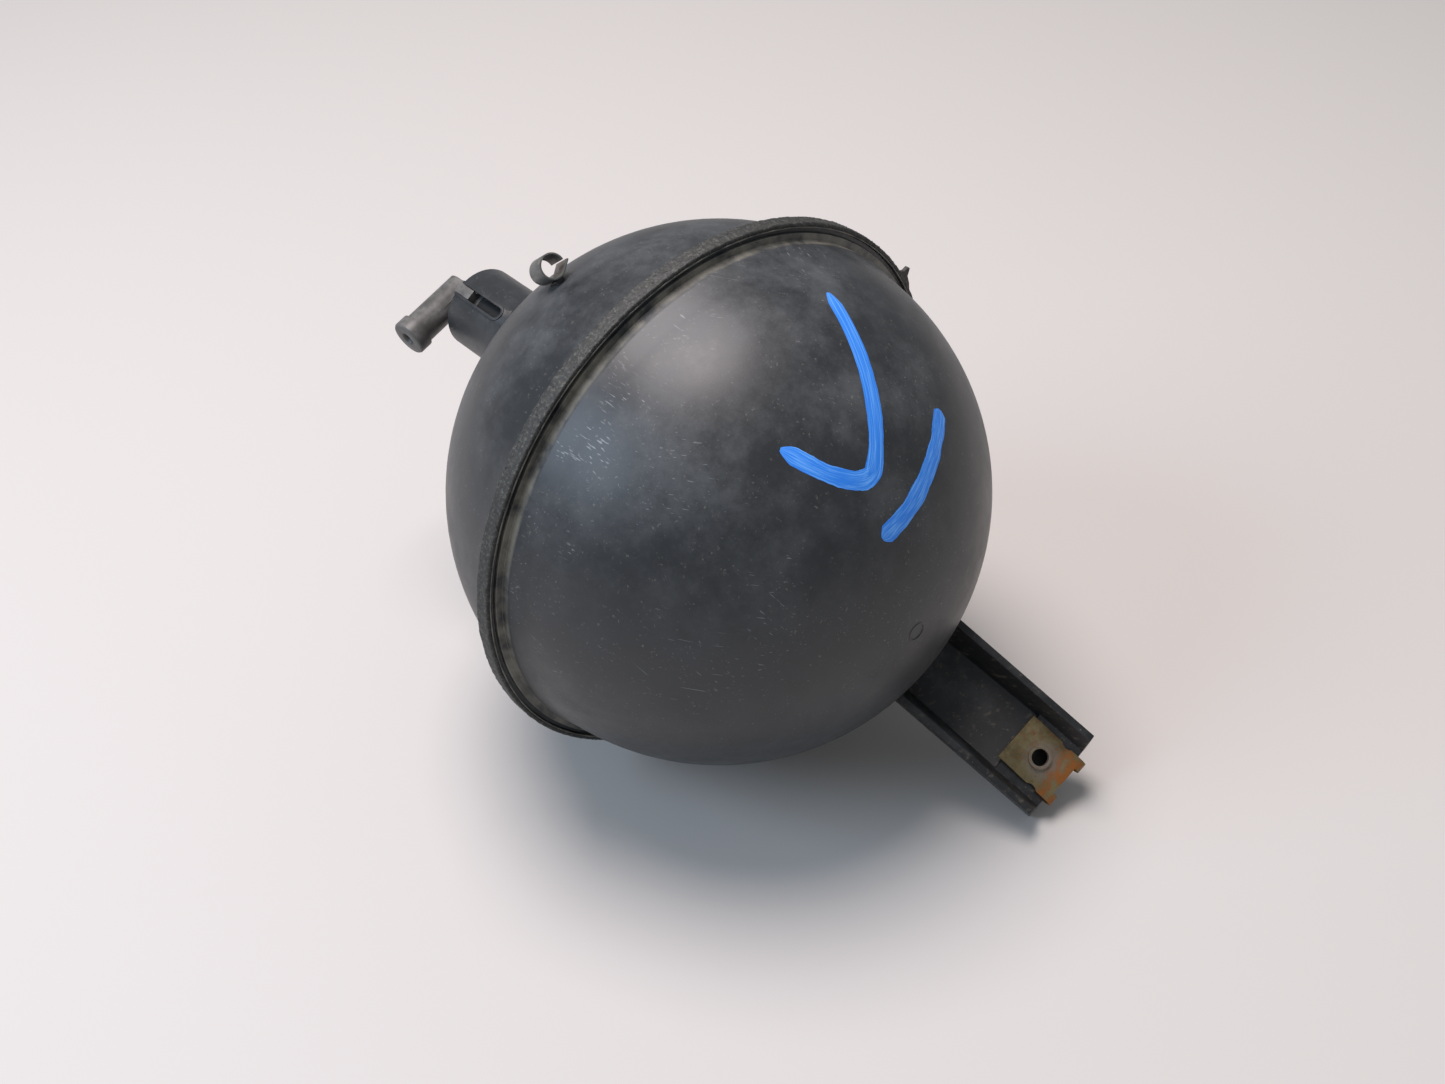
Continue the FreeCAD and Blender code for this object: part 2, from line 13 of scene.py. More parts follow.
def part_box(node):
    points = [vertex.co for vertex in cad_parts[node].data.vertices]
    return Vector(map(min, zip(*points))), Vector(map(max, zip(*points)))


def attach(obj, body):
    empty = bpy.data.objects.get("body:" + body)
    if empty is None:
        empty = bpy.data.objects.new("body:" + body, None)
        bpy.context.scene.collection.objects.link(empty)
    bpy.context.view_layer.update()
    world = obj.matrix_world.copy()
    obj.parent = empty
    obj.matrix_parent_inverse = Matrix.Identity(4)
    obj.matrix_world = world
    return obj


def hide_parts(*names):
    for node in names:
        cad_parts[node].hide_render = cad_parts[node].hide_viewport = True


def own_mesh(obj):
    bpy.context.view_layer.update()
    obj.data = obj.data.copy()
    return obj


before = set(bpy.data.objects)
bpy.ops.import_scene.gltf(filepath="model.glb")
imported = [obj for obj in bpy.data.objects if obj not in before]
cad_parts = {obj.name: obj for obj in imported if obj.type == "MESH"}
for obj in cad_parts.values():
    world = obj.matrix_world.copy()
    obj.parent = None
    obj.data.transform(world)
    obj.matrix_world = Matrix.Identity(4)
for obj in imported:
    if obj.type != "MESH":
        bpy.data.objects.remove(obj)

logging.basicConfig(level=logging.INFO, format="%(name)s: %(message)s")
LOG = logging.getLogger("reservoir")
MM = 0.001
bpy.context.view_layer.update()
# Way the arm leaves the ball and the clip nut slides.
ARM_DIRECTION = (0.8231364, 0.2735608, -0.4976053)
# Distance from the ball's centre to the top of the gate mark, the front half's furthest point.
POLE_REACH = 75.2 * MM
NYLON_IOR = 1.53


class Body(Enum):
    """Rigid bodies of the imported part."""

    RESERVOIR = "reservoir"
    ELBOW = "elbow_valve"
    DISC = "check_disc"
    NUT = "clip_nut"


# ---------------------------------------------------------------- shader helpers
def linear(code: str) -> tuple[float, float, float, float]:
    """Turns an sRGB hex colour to linear.

    Args:
        code: colour such as "#2a2c2e".

    Returns:
        Linear red, green, blue and an alpha of 1.
    """
    values = [int(code[i : i + 2], 16) / 255 for i in (1, 3, 5)]
    rgb = [v / 12.92 if v <= 0.04045 else ((v + 0.055) / 1.055) ** 2.4 for v in values]
    return (rgb[0], rgb[1], rgb[2], 1.0)


def add_node(
    tree: bpy.types.NodeTree, kind: str, sockets: dict | None = None, **settings: Any
) -> Any:
    """Adds a node with its settings, and its inputs set or linked.

    Args:
        tree: node tree to add to.
        kind: the node's type name.
        sockets: input name or index to a value, or to the output socket that feeds it.
        settings: properties of the node itself.

    Returns:
        The new node.
    """
    node = tree.nodes.new(kind)
    for key, value in settings.items():
        setattr(node, key, value)
    for key, value in (sockets or {}).items():
        if isinstance(value, bpy.types.NodeSocket):
            tree.links.new(value, node.inputs[key])
        else:
            node.inputs[key].default_value = value
    return node


class Shader:
    """Material under construction, with its pattern space in millimetres about one point."""

    def __init__(self, name: str, centre: Vector) -> None:
        """Starts an empty material.

        Args:
            name: name of the material.
            centre: origin of the pattern space, in metres.
        """
        self.material = bpy.data.materials.new(name)
        self.material.use_nodes = True
        self.tree = self.material.node_tree
        self.tree.nodes.clear()
        coords = add_node(self.tree, "ShaderNodeTexCoord")
        shift = -centre / MM
        mapping = add_node(
            self.tree,
            "ShaderNodeMapping",
            {"Vector": coords.outputs["Object"], "Location": shift, "Scale": (1 / MM,) * 3},
        )
        self.place = mapping.outputs["Vector"]
        self.geometry = add_node(self.tree, "ShaderNodeNewGeometry")

    def stretched(self, scale: Sequence[float], rotation: Sequence[float] = (0, 0, 0)) -> Any:
        """Pattern space squeezed along its axes, after a turn.

        Args:
            scale: factor along each axis of the turned space.
            rotation: turn in degrees about X, Y and Z.

        Returns:
            The vector output.
        """
        turned = add_node(
            self.tree,
            "ShaderNodeMapping",
            {"Vector": self.place, "Rotation": [math.radians(a) for a in rotation]},
        )
        squeezed = add_node(
            self.tree, "ShaderNodeMapping", {"Vector": turned.outputs["Vector"], "Scale": scale}
        )
        return squeezed.outputs["Vector"]

    def noise(
        self, size_mm: float, detail: float = 3.0, rough: float = 0.55, vector: Any = None
    ) -> Any:
        """Noise whose blobs are about this many millimetres across.

        Args:
            size_mm: size of one blob.
            detail: octaves of detail.
            rough: strength of each finer octave.
            vector: another pattern space than the plain one.

        Returns:
            The noise value output.
        """
        node = add_node(
            self.tree,
            "ShaderNodeTexNoise",
            {
                "Vector": vector or self.place,
                "Scale": 1.0 / size_mm,
                "Detail": detail,
                "Roughness": rough,
            },
        )
        return node.outputs["Fac"]

    def ramp(
        self, value: Any, low: float, high: float, to_low: float = 0.0, to_high: float = 1.0
    ) -> Any:
        """Smooth step of a value between two limits.

        Args:
            value: the output to remap.
            low: value at which the step starts.
            high: value at which it ends.
            to_low: result at and below low.
            to_high: result at and above high.

        Returns:
            The remapped output.
        """
        node = add_node(
            self.tree,
            "ShaderNodeMapRange",
            {
                "Value": value,
                "From Min": low,
                "From Max": high,
                "To Min": to_low,
                "To Max": to_high,
            },
            interpolation_type="SMOOTHSTEP",
        )
        return node.outputs["Result"]

    def math(self, operation: str, a: Any, b: Any = 0.0) -> Any:
        """One arithmetic step, clamped to 0 and 1 for products and sums.

        Args:
            operation: name of the operation.
            a: first operand.
            b: second operand.

        Returns:
            The result output.
        """
        node = add_node(self.tree, "ShaderNodeMath", {0: a, 1: b}, operation=operation)
        node.use_clamp = operation in ("MULTIPLY", "ADD")
        return node.outputs["Value"]

    def mix(self, factor: Any, a: Any, b: Any) -> Any:
        """Blend of two colours.

        Args:
            factor: share of the second colour.
            a: first colour, as a value or an output.
            b: second colour.

        Returns:
            The colour output.
        """
        node = add_node(self.tree, "ShaderNodeMix", {0: factor}, data_type="RGBA")
        for index, value in ((6, a), (7, b)):
            if isinstance(value, bpy.types.NodeSocket):
                self.tree.links.new(value, node.inputs[index])
            else:
                node.inputs[index].default_value = value
        return node.outputs[2]

    def tinted(self, colour: Any, mask: Any, share: float, code: str) -> Any:
        """Lays a tint over a colour.

        Args:
            colour: the colour below.
            mask: where the tint lies, from 0 to 1.
            share: strength of the tint where the mask is 1.
            code: the tint, as sRGB hex.

        Returns:
            The colour output.
        """
        return self.mix(self.math("MULTIPLY", mask, share), colour, linear(code))

    def facing_up(self, low: float, high: float) -> Any:
        """Step on how far the surface faces up, from -1 to 1."""
        split = add_node(self.tree, "ShaderNodeSeparateXYZ", {0: self.geometry.outputs["Normal"]})
        return self.ramp(split.outputs["Z"], low, high)

    def axis(self, name: str) -> Any:
        """One coordinate of the pattern space, in millimetres."""
        return add_node(self.tree, "ShaderNodeSeparateXYZ", {0: self.place}).outputs[name]

    def band(self, value: Any, low: float, high: float, soft: float) -> Any:
        """1 between two limits, falling to 0 outside over the soft width."""
        rise = self.ramp(value, low - soft, low)
        fall = self.ramp(value, high, high + soft, 1.0, 0.0)
        return self.math("MULTIPLY", rise, fall)

    def spot(self, centre: Sequence[float], radius: float, soft: float) -> Any:
        """1 within a ball about a point of the pattern space, 0 outside it.

        Args:
            centre: the point, in millimetres.
            radius: reach of the full strength.
            soft: width of the fall to 0.

        Returns:
            The mask output.
        """
        far = add_node(
            self.tree, "ShaderNodeVectorMath", {0: self.place, 1: centre}, operation="DISTANCE"
        )
        return self.ramp(far.outputs["Value"], radius, radius + soft, 1.0, 0.0)

    def bump(self, heights: Sequence[tuple[Any, float]]) -> Any:
        """Stacks bumps.

        Args:
            heights: height outputs, each with its depth in millimetres.

        Returns:
            The normal output.
        """
        normal = None
        for height, depth in heights:
            sockets = {"Height": height, "Distance": depth * MM, "Strength": 1.0}
            if normal is not None:
                sockets["Normal"] = normal
            normal = add_node(self.tree, "ShaderNodeBump", sockets).outputs["Normal"]
        return normal

    def finish(
        self, colour: Any, roughness: Any, normal: Any = None, **constants: Any
    ) -> bpy.types.Material:
        """Closes the material with one surface shader.

        Args:
            colour: base colour, as a value or an output.
            roughness: as a value or an output.
            normal: normal output, if the surface has relief.
            constants: other inputs of the shader, with _ for a space.

        Returns:
            The finished material.
        """
        sockets = {"Base Color": colour, "Roughness": roughness}
        if normal is not None:
            sockets["Normal"] = normal
        for key, value in constants.items():
            sockets[key.replace("_", " ")] = value
        shader = add_node(self.tree, "ShaderNodeBsdfPrincipled", sockets)
        add_node(self.tree, "ShaderNodeOutputMaterial", {"Surface": shader.outputs["BSDF"]})
        return self.material


# ---------------------------------------------------------------- finishes
@dataclass(frozen=True)
class BallNylon:
    """Black glass-filled polyamide, injection moulded: satin, broad soft highlights.

    Years of dust have settled in a grey bloom over it, thin on the flanks and thicker on top.
    """

    name: str = "moulded_nylon_ball"
    resin: str = "#25282b"
    bloom: str = "#63676a"
    silt: str = "#8a877c"
    bloom_amount: float = 0.5
    rough_low: float = 0.36
    rough_high: float = 0.52

    def build(self, centre: Vector) -> bpy.types.Material:
        """Makes the material about the centre of the ball."""
        s = Shader(self.name, centre)
        blotches = s.noise(22.0, 8.0, 0.72)
        specks = s.noise(0.9, 2.0, 0.6)
        lumps = s.noise(4.5, 3.0)
        film = s.math("MULTIPLY", s.ramp(blotches, 0.36, 0.74), s.facing_up(-0.25, 0.95))
        film = s.math("MULTIPLY", film, self.bloom_amount)
        colour = s.mix(film, linear(self.resin), linear(self.bloom))
        grains = s.math("MULTIPLY", s.ramp(specks, 0.62, 0.72), s.ramp(lumps, 0.42, 0.62))
        colour = s.tinted(colour, grains, 0.3, self.silt)
        colour = s.mix(self.scratches(s), colour, linear("#9b9fa1"))
        colour = s.mix(self.skirt_silt(s), colour, linear(self.silt))
        colour = s.mix(self.smudges(s), colour, linear("#17191a"))
        rough = s.ramp(blotches, 0.3, 0.75, self.rough_low, self.rough_high)
        normal = s.bump([(s.noise(0.55, 2.0), 0.006), (s.noise(9.0, 2.0), 0.05)])
        return s.finish(colour, rough, normal, IOR=NYLON_IOR)

    def scratches(self, s: Shader) -> Any:
        """Fine pale scratches: short ones beside the flange, and long loose ones elsewhere."""
        along = s.noise(1.0, 1.0, 0.5, s.stretched((0.05, 1.9, 1.9)))
        near = s.band(s.axis("X"), 9.0, 17.0, 7.0)
        patch = s.ramp(s.noise(16.0, 1.0), 0.56, 0.66)
        beside = s.math("MULTIPLY", s.math("MULTIPLY", s.ramp(along, 0.63, 0.7), near), patch)
        long = s.noise(1.0, 1.0, 0.5, s.stretched((2.2, 0.035, 2.2), (35, 20, 50)))
        cross = s.noise(1.0, 1.0, 0.5, s.stretched((2.6, 2.6, 0.04), (-30, 40, 10)))
        loose = s.math("MAXIMUM", s.ramp(long, 0.72, 0.76), s.ramp(cross, 0.73, 0.77))
        loose = s.math("MULTIPLY", loose, s.ramp(s.noise(22.0, 1.0), 0.5, 0.6))
        return s.math("ADD", s.math("MULTIPLY", beside, 0.55), s.math("MULTIPLY", loose, 0.3))

    def skirt_silt(self, s: Shader) -> Any:
        """Pale dust held in the corner between the skirt and the flange."""
        reach = s.noise(6.0, 3.0)
        corner = s.band(s.axis("X"), 1.8, 3.4, 1.4)
        return s.math("MULTIPLY", s.math("MULTIPLY", corner, s.ramp(reach, 0.25, 0.7)), 0.7)

    def smudges(self, s: Shader) -> Any:
        """Darker patches where hands and rags have taken the bloom off."""
        broad = s.ramp(s.noise(19.0, 3.0, 0.6), 0.56, 0.7)
        return s.math("MULTIPLY", broad, 0.35)


@dataclass(frozen=True)
class FlashNylon:
    """Weld flash of the same polyamide, squeezed out hot and torn: matt, pitted and dusty."""

    name: str = "nylon_weld_flash"
    resin: str = "#2b2c2b"
    dust: str = "#565751"

    def build(self, centre: Vector) -> bpy.types.Material:
        """Makes the material about the centre of the ball."""
        s = Shader(self.name, centre)
        pits = s.noise(0.8, 4.0, 0.7)
        runs = s.noise(3.2, 3.0)
        colour = s.mix(s.ramp(pits, 0.48, 0.68), linear(self.resin), linear(self.dust))
        colour = s.tinted(colour, s.ramp(runs, 0.5, 0.7), 0.5, "#1a1b1a")
        normal = s.bump([(pits, 0.12), (runs, 0.2)])
        return s.finish(colour, 0.62, normal, IOR=NYLON_IOR)


@dataclass(frozen=True)
class ShadedArmNylon:
    """The ball's polyamide with a darker resin that is painted shade, for pieces that sit in
    shadow; a grey dust film on top, and silt in its corners.
    """

    name: str = "moulded_nylon_arm_painted_shade"
    # darker than the ball's resin: painted shade
    resin: str = "#1d1f21"
    bloom: str = "#4a4d4f"
    silt: str = "#7a7061"

    def build(self, centre: Vector) -> bpy.types.Material:
        """Makes the material about the root of the arm."""
        s = Shader(self.name, centre)
        blotches = s.noise(12.0, 5.0, 0.6)
        film = s.math("MULTIPLY", s.ramp(blotches, 0.42, 0.7), s.facing_up(0.1, 0.9))
        colour = s.tinted(linear(self.resin), film, 0.6, self.bloom)
        streaks = s.noise(1.0, 3.0, 0.6, s.stretched((0.12, 0.7, 0.7), (0, 31, -18)))
        colour = s.tinted(colour, s.ramp(streaks, 0.56, 0.72), 0.35, self.silt)
        grains = s.ramp(s.noise(0.8, 2.0), 0.7, 0.76)
        colour = s.tinted(colour, grains, 0.35, "#a09d94")
        rough = s.ramp(blotches, 0.3, 0.75, 0.38, 0.55)
        normal = s.bump([(s.noise(0.5, 2.0), 0.008), (s.noise(5.0, 2.0), 0.04)])
        return s.finish(colour, rough, normal, IOR=NYLON_IOR)


@dataclass(frozen=True)
class ValveNylon:
    """Unfilled grey-brown polyamide, injection moulded: satin, slightly translucent looking."""

    name: str = "valve_nylon"
    resin: str = "#4b4a48"
    upward_tint: str = "#7b7a78"

    def build(self, centre: Vector) -> bpy.types.Material:
        """Makes the material about the corner of the elbow."""
        s = Shader(self.name, centre)
        blotches = s.noise(5.0, 4.0, 0.6)
        # paler blotches on the faces turned upward
        film = s.math("MULTIPLY", s.ramp(blotches, 0.35, 0.72), s.facing_up(-0.3, 0.8))
        colour = s.tinted(linear(self.resin), film, 0.75, self.upward_tint)
        grains = s.ramp(s.noise(0.5, 2.0), 0.68, 0.74)
        colour = s.tinted(colour, grains, 0.25, "#2a2927")
        normal = s.bump([(s.noise(0.35, 2.0), 0.006), (s.noise(3.0, 2.0), 0.03)])
        return s.finish(colour, s.ramp(blotches, 0.3, 0.7, 0.4, 0.52), normal, IOR=NYLON_IOR)


@dataclass(frozen=True)
class PassivatedSpringSteel:
    """Spring steel strip, zinc plated and yellow passivated: olive iridescence gone dull.

    Red rust has broken through from the edges, and the middle is rubbed to grey zinc.
    """

    name: str = "passivated_spring_steel"
    passivate: str = "#74694a"
    zinc: str = "#7d756c"
    rust: str = "#96591f"
    deep_rust: str = "#3c2415"

    def build(self, centre: Vector, along: Vector) -> bpy.types.Material:
        """Makes the material.

        Args:
            centre: middle of the threaded hole.
            along: direction from the rear edge of the clip to its bend.

        Returns:
            The material.
        """
        s = Shader(self.name, centre)
        blotches = s.noise(3.6, 4.0, 0.62)
        scale = s.noise(0.7, 4.0, 0.65)
        run = add_node(
            s.tree, "ShaderNodeVectorMath", {0: s.place, 1: along}, operation="DOT_PRODUCT"
        )
        ahead = s.ramp(run.outputs["Value"], 1.0, 5.5)
        front = s.math("MULTIPLY", ahead, s.ramp(blotches, 0.36, 0.6))
        middle = s.spot((0, 0, 0), 3.0, 4.5)
        colour = s.mix(s.ramp(blotches, 0.35, 0.65), linear(self.passivate), linear("#574f36"))
        colour = s.tinted(colour, middle, 0.8, self.zinc)
        colour = s.tinted(colour, front, 0.8, self.rust)
        flecks = s.math("MULTIPLY", s.ramp(scale, 0.52, 0.66), s.ramp(blotches, 0.42, 0.6))
        colour = s.tinted(colour, flecks, 0.8, self.rust)
        colour = s.tinted(colour, s.ramp(scale, 0.63, 0.72), 0.85, self.deep_rust)
        rough = s.ramp(scale, 0.35, 0.65, 0.42, 0.75)
        normal = s.bump([(scale, 0.03), (blotches, 0.05)])
        return s.finish(colour, rough, normal, Metallic=0.45)


@dataclass(frozen=True)
class StripNylon:
    """Thin moulded strip of the valve's polyamide, browned on the inside by oil mist."""

    name: str = "clip_strip"
    outside: str = "#4d4f4d"
    inside: str = "#4a4035"

    def build(self, centre: Vector) -> bpy.types.Material:
        """Makes the material about the middle of the ring."""
        s = Shader(self.name, centre)
        blotches = s.noise(2.4, 3.0, 0.6)
        far = add_node(s.tree, "ShaderNodeVectorMath", {0: s.place}, operation="LENGTH")
        outer = s.ramp(far.outputs["Value"], 3.5, 4.2)
        colour = s.mix(outer, linear(self.inside), linear(self.outside))
        colour = s.tinted(colour, s.ramp(blotches, 0.5, 0.7), 0.5, "#8a8578")
        normal = s.bump([(s.noise(0.4, 2.0), 0.01)])
        return s.finish(colour, s.ramp(blotches, 0.3, 0.7, 0.34, 0.5), normal, IOR=NYLON_IOR)


@dataclass(frozen=True)
class MattRubber:
    """Moulded nitrile rubber: matt, with a fine bloom."""

    name: str
    tint: str
    bloom: str

    def build(self, centre: Vector) -> bpy.types.Material:
        """Makes the material about a point on the piece."""
        s = Shader(self.name, centre)
        film = s.ramp(s.noise(1.8, 3.0), 0.4, 0.75)
        colour = s.tinted(linear(self.tint), film, 0.5, self.bloom)
        normal = s.bump([(s.noise(0.3, 2.0), 0.01)])
        return s.finish(colour, 0.7, normal, IOR=1.52)


@dataclass(frozen=True)
class DrawnWire:
    """Stainless spring wire, cold drawn: bright, with fine lengthwise die marks."""

    name: str = "drawn_spring_wire"
    steel: str = "#b4b6b8"

    def build(self, centre: Vector) -> bpy.types.Material:
        """Makes the material about a point on the spring."""
        s = Shader(self.name, centre)
        marks = s.noise(0.2, 3.0)
        colour = s.mix(s.ramp(marks, 0.4, 0.7), linear(self.steel), linear("#8c8e90"))
        return s.finish(colour, s.ramp(marks, 0.3, 0.7, 0.22, 0.4), Metallic=1.0)


@dataclass(frozen=True)
class PaintPen:
    """Oil paint from a marker pen: opaque, semi-gloss, in streaks along the stroke."""

    name: str = "paint_pen_blue"
    blue: str = "#2b7fe6"
    pale: str = "#69aefb"

    def build(self, centre: Vector) -> bpy.types.Material:
        """Makes the material; its streaks follow the stroke's own map."""
        s = Shader(self.name, centre)
        lay = add_node(s.tree, "ShaderNodeUVMap", uv_map="stroke")
        combed = add_node(
            s.tree, "ShaderNodeMapping", {"Vector": lay.outputs["UV"], "Scale": (0.06, 1.1, 1.0)}
        )
        streaks = s.noise(1.0, 3.0, 0.6, combed.outputs["Vector"])
        colour = s.mix(s.ramp(streaks, 0.42, 0.72), linear(self.blue), linear(self.pale))
        normal = s.bump([(streaks, 0.02)])
        return s.finish(colour, 0.36, normal, IOR=1.5)


# ---------------------------------------------------------------- mesh helpers
def mesh_from(bm: bmesh.types.BMesh, name: str) -> bpy.types.Mesh:
    """Turns finished bmesh geometry into a mesh and frees it."""
    mesh = bpy.data.meshes.new(name)
    bm.to_mesh(mesh)
    bm.free()
    return mesh


def linked(name: str, data: Any) -> bpy.types.Object:
    """New object at the origin, in the scene."""
    obj = bpy.data.objects.new(name, data)
    bpy.context.scene.collection.objects.link(obj)
    return obj


def new_piece(name: str, mesh: bpy.types.Mesh, material: bpy.types.Material) -> bpy.types.Object:
    """Links a mesh as an object at the origin, with one material."""
    mesh.materials.clear()
    mesh.materials.append(material)
    return linked(name, mesh)


def settle(obj: bpy.types.Object, body: Body, slot: str, *nodes: str) -> bpy.types.Object:
    """Puts a finished piece on its body, hides the CAD nodes it replaces and logs its faces.

    Args:
        obj: the piece.
        body: body it moves with.
        slot: material slot of the record it takes its finish from; not used.
        nodes: CAD nodes that it replaces.

    Returns:
        The same piece.
    """
    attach(obj, body.value)
    if nodes:
        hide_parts(*nodes)
    LOG.info("%s: %d faces on %s", obj.name, len(obj.data.polygons), body.value)
    return obj


def dress(node: str, material: bpy.types.Material) -> None:
    """Gives a carried CAD node its material."""
    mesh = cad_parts[node].data
    mesh.materials.clear()
    mesh.materials.append(material)
    LOG.info("%s: CAD node dressed in %s", node, material.name)


def smooth(mesh: bpy.types.Mesh, degrees: float = 32.0) -> None:
    """Smooth shading, sharp where faces meet at more than this angle."""
    mesh.polygons.foreach_set("use_smooth", [True] * len(mesh.polygons))
    mesh.set_sharp_from_angle(angle=math.radians(degrees))


def applied(obj: bpy.types.Object) -> bpy.types.Object:
    """Swaps the object's mesh for its evaluated one and drops the modifiers."""
    evaluated = obj.evaluated_get(bpy.context.evaluated_depsgraph_get())
    mesh = bpy.data.meshes.new_from_object(evaluated)
    obj.modifiers.clear()
    obj.data = mesh
    return obj


def eased_copy(
    node: str, name: str, width_mm: float, material: bpy.types.Material
) -> bpy.types.Object:
    """Copy of a CAD node whose sharp edges carry a small moulded radius.

    Args:
        node: the CAD node.
        name: name of the new piece.
        width_mm: width of the eased edge.
        material: its finish.

    Returns:
        The new piece, not yet on a body.
    """
    bm = bmesh.new()
    bm.from_mesh(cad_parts[node].data)
    bmesh.ops.remove_doubles(bm, verts=bm.verts, dist=1e-6)
    bmesh.ops.dissolve_limit(bm, angle_limit=math.radians(0.4), verts=bm.verts, edges=bm.edges)
    mesh = mesh_from(bm, name)
    for layer in list(mesh.attributes):
        if layer.name == "custom_normal":
            mesh.attributes.remove(layer)
    obj = new_piece(name, mesh, material)
    bevel = obj.modifiers.new("eased_edges", "BEVEL")
    bevel.width = width_mm * MM
    bevel.segments = 2
    bevel.limit_method = "ANGLE"
    bevel.angle_limit = math.radians(34)
    bevel.use_clamp_overlap = True
    applied(obj)
    smooth(obj.data, 38.0)
    return obj


def filleted(
    points: Sequence[tuple[float, float]], radius: float, steps: int = 4
) -> list[tuple[float, float]]:
    """Rounds the corners of an open outline.

    Args:
        points: (x, r) corners.
        radius: how far each round reaches along its two sides.
        steps: points on each round.

    Returns:
        The outline with its corners rounded.
    """
    result = [points[0]]
    for before, corner, after in zip(points, points[1:], points[2:]):
        a, b, c = Vector(before), Vector(corner), Vector(after)
        reach_in = min(radius, (a - b).length * 0.45)
        reach_out = min(radius, (c - b).length * 0.45)
        start = b + (a - b).normalized() * reach_in
        end = b + (c - b).normalized() * reach_out
        for k in range(steps + 1):
            t = k / steps
            point = start * (1 - t) ** 2 + b * 2 * t * (1 - t) + end * t * t
            result.append((point.x, point.y))
    result.append(points[-1])
    return result


def lathe(
    name: str, outline: Sequence[tuple[float, float]], centre: Vector, segments: int
) -> bpy.types.Mesh:
    """Closed turned surface about the polar axis.

    Args:
        name: name of the mesh.
        outline: (x, r) points in metres about the centre, from one pole to the other, or a loop.
        centre: a point on the axis.
        segments: steps round the axis.

    Returns:
        The mesh, facing outward.
    """
    bm = bmesh.new()
    rings = []
    for x, r in outline:
        if r < 1e-7:
            rings.append([bm.verts.new(centre + Vector((x, 0, 0)))])
            continue
        ring = []
        for k in range(segments):
            a = math.tau * k / segments
            ring.append(bm.verts.new(centre + Vector((x, r * math.cos(a), r * math.sin(a)))))
        rings.append(ring)
    pairs = list(zip(rings, rings[1:]))
    if len(rings[0]) > 1:
        pairs.append((rings[-1], rings[0]))
    for a, b in pairs:
        for k in range(segments):
            n = (k + 1) % segments
            corners = [a[k % len(a)], a[n % len(a)], b[n % len(b)], b[k % len(b)]]
            unique = list(dict.fromkeys(corners))
            if len(unique) > 2:
                bm.faces.new(unique)
    bmesh.ops.recalc_face_normals(bm, faces=bm.faces)
    mesh = mesh_from(bm, name)
    smooth(mesh)
    return mesh


# ---------------------------------------------------------------- geometry-node helpers
def group_tree(name: str, inputs: dict[str, float], takes_mesh: bool) -> tuple[Any, Any]:
    """Starts a geometry-node tree with named inputs.

    Args:
        name: name of the tree.
        inputs: input name to value, an int for a whole-number input.
        takes_mesh: whether it works on the object's own mesh.

    Returns:
        The tree and its inputs by name.
    """
    tree = bpy.data.node_groups.new(name, "GeometryNodeTree")
    if takes_mesh:
        tree.interface.new_socket("Geometry", in_out="INPUT", socket_type="NodeSocketGeometry")
    for label, value in inputs.items():
        kind = "NodeSocketInt" if isinstance(value, int) else "NodeSocketFloat"
        socket = tree.interface.new_socket(label, in_out="INPUT", socket_type=kind)
        socket.default_value = value
    tree.interface.new_socket("Geometry", in_out="OUTPUT", socket_type="NodeSocketGeometry")
    return tree, tree.nodes.new("NodeGroupInput").outputs


def close_tree(tree: Any, geometry: Any, material: bpy.types.Material) -> None:
    """Ends a tree in Realize Instances, Set Material and the output."""
    real = add_node(tree, "GeometryNodeRealizeInstances", {"Geometry": geometry})
    painted = add_node(
        tree, "GeometryNodeSetMaterial", {"Geometry": real.outputs[0], "Material": material}
    )
    add_node(tree, "NodeGroupOutput", {0: painted.outputs[0]})


def grown(
    name: str, base: bpy.types.Mesh, tree: Any, values: dict[str, Any], place: Matrix
) -> bpy.types.Object:
    """Runs a tree once and keeps its result as a plain mesh.

    Args:
        name: name of the new piece.
        base: mesh that the tree works on.
        tree: the geometry-node tree.
        values: input name to value.
        place: moves the result to its place in the part.

    Returns:
        The new piece at the origin.
    """
    obj = linked(name, base)
    modifier = obj.modifiers.new("shape", "NODES")
    modifier.node_group = tree
    for item in tree.interface.items_tree:
        if item.item_type == "SOCKET" and item.in_out == "INPUT" and item.name in values:
            modifier[item.identifier] = values[item.name]
    applied(obj)
    obj.data.name = name
    obj.data.transform(place)
    return obj


def crumb_tree(name: str, material: bpy.types.Material) -> Any:
    """Tree that scatters small rough crumbs over a mesh.

    Args:
        name: name of the tree.
        material: finish of the crumbs.

    Returns:
        The tree, with inputs Density, Size, Spread and Seed.
    """
    inputs = {"Density": 1e5, "Size": 0.0003, "Spread": 0.5, "Seed": 1}
    tree, given = group_tree(name, inputs, True)
    points = add_node(
        tree,
        "GeometryNodeDistributePointsOnFaces",
        {
            "Mesh": given["Geometry"],
            "Density": given["Density"],
            "Seed": given["Seed"],
        },
    )
    crumb = add_node(
        tree, "GeometryNodeMeshIcoSphere", {"Radius": given["Size"], "Subdivisions": 1}
    )
    small = add_node(
        tree, "ShaderNodeMath", {0: 1.0, 1: given["Spread"]}, operation="SUBTRACT"
    )
    size = add_node(tree, "FunctionNodeRandomValue", data_type="FLOAT_VECTOR")
    spin = add_node(tree, "FunctionNodeRandomValue", data_type="FLOAT_VECTOR")
    floor = add_node(tree, "ShaderNodeCombineXYZ", {i: small.outputs[0] for i in range(3)})
    tree.links.new(floor.outputs[0], size.inputs[0])
    size.inputs[1].default_value = (1.0, 1.0, 0.8)
    spin.inputs[1].default_value = (math.tau,) * 3
    tree.links.new(given["Seed"], size.inputs["Seed"])
    turned = add_node(tree, "FunctionNodeEulerToRotation", {0: spin.outputs[0]})
    placed = add_node(
        tree,
        "GeometryNodeInstanceOnPoints",
        {
            "Points": points.outputs["Points"],
            "Instance": crumb.outputs["Mesh"],
            "Rotation": turned.outputs[0],
            "Scale": size.outputs[0],
        },
    )
    close_tree(tree, placed.outputs[0], material)
    return tree


